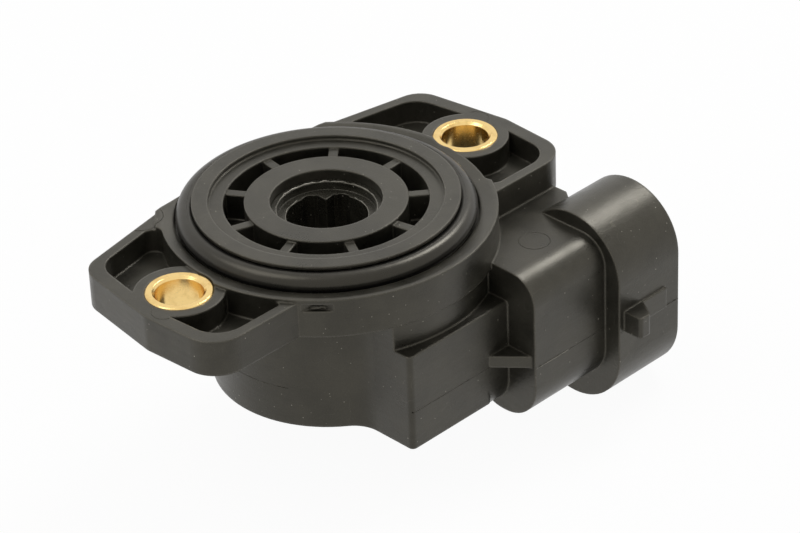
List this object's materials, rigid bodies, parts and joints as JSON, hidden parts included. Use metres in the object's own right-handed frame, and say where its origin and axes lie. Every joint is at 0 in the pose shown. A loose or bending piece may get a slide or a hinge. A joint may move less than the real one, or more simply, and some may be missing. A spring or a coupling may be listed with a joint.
{
  "type": "position sensor",
  "caption": "Rotary position sensor: black moulded housing with two bushed screw ears, a ribbed hub with keyed rotor, a face seal and a side plug socket.",
  "frame": {"origin": "on the shaft axis, in the top plane of the two screw ears", "axes": "+Z out of the mating face along the shaft axis, +X through both screw bushes towards the side the plug socket opens to, +Y away from the plug socket"},
  "size_m": [0.0592, 0.0464, 0.0283],
  "materials": {
    "housing_plastic": "satin black glass-filled moulding",
    "cover_plastic": "satin black moulding",
    "rotor_plastic": "satin dark grey moulding",
    "brass": "turned, bright",
    "seal_rubber": "smooth, slightly glossy",
    "spring_steel": "rolled",
    "spring_bronze": "rolled",
    "board_laminate": "glass laminate",
    "carbon_ink": "printed, matte",
    "silver_ink": "printed",
    "tinned_brass": "tin plated"
  },
  "bodies": {
    "housing": {"housing": "housing_plastic", "bush_left": "brass", "bush_right": "brass", "face_seal": "seal_rubber", "thrust_washer": "spring_steel", "track_board": "board_laminate", "resistance_track": "carbon_ink", "collector_track": "silver_ink", "terminal_ground": "tinned_brass", "terminal_signal": "tinned_brass", "terminal_supply": "tinned_brass", "board_rivet_1": "tinned_brass", "board_rivet_2": "tinned_brass", "board_rivet_3": "tinned_brass", "cover_gasket": "seal_rubber", "back_cover": "cover_plastic"},
    "rotor": {"rotor": "rotor_plastic", "shaft_seal": "seal_rubber", "wiper_plate": "spring_bronze", "track_brush": "spring_bronze", "collector_brush": "spring_bronze"}
  },
  "joints": [
    {"name": "rotor_turn", "type": "hinge", "parent": "housing", "child": "rotor", "pos_m": [0, 0, 0], "axis": [0, 0, 1], "range_deg": [0, 100]}
  ]
}
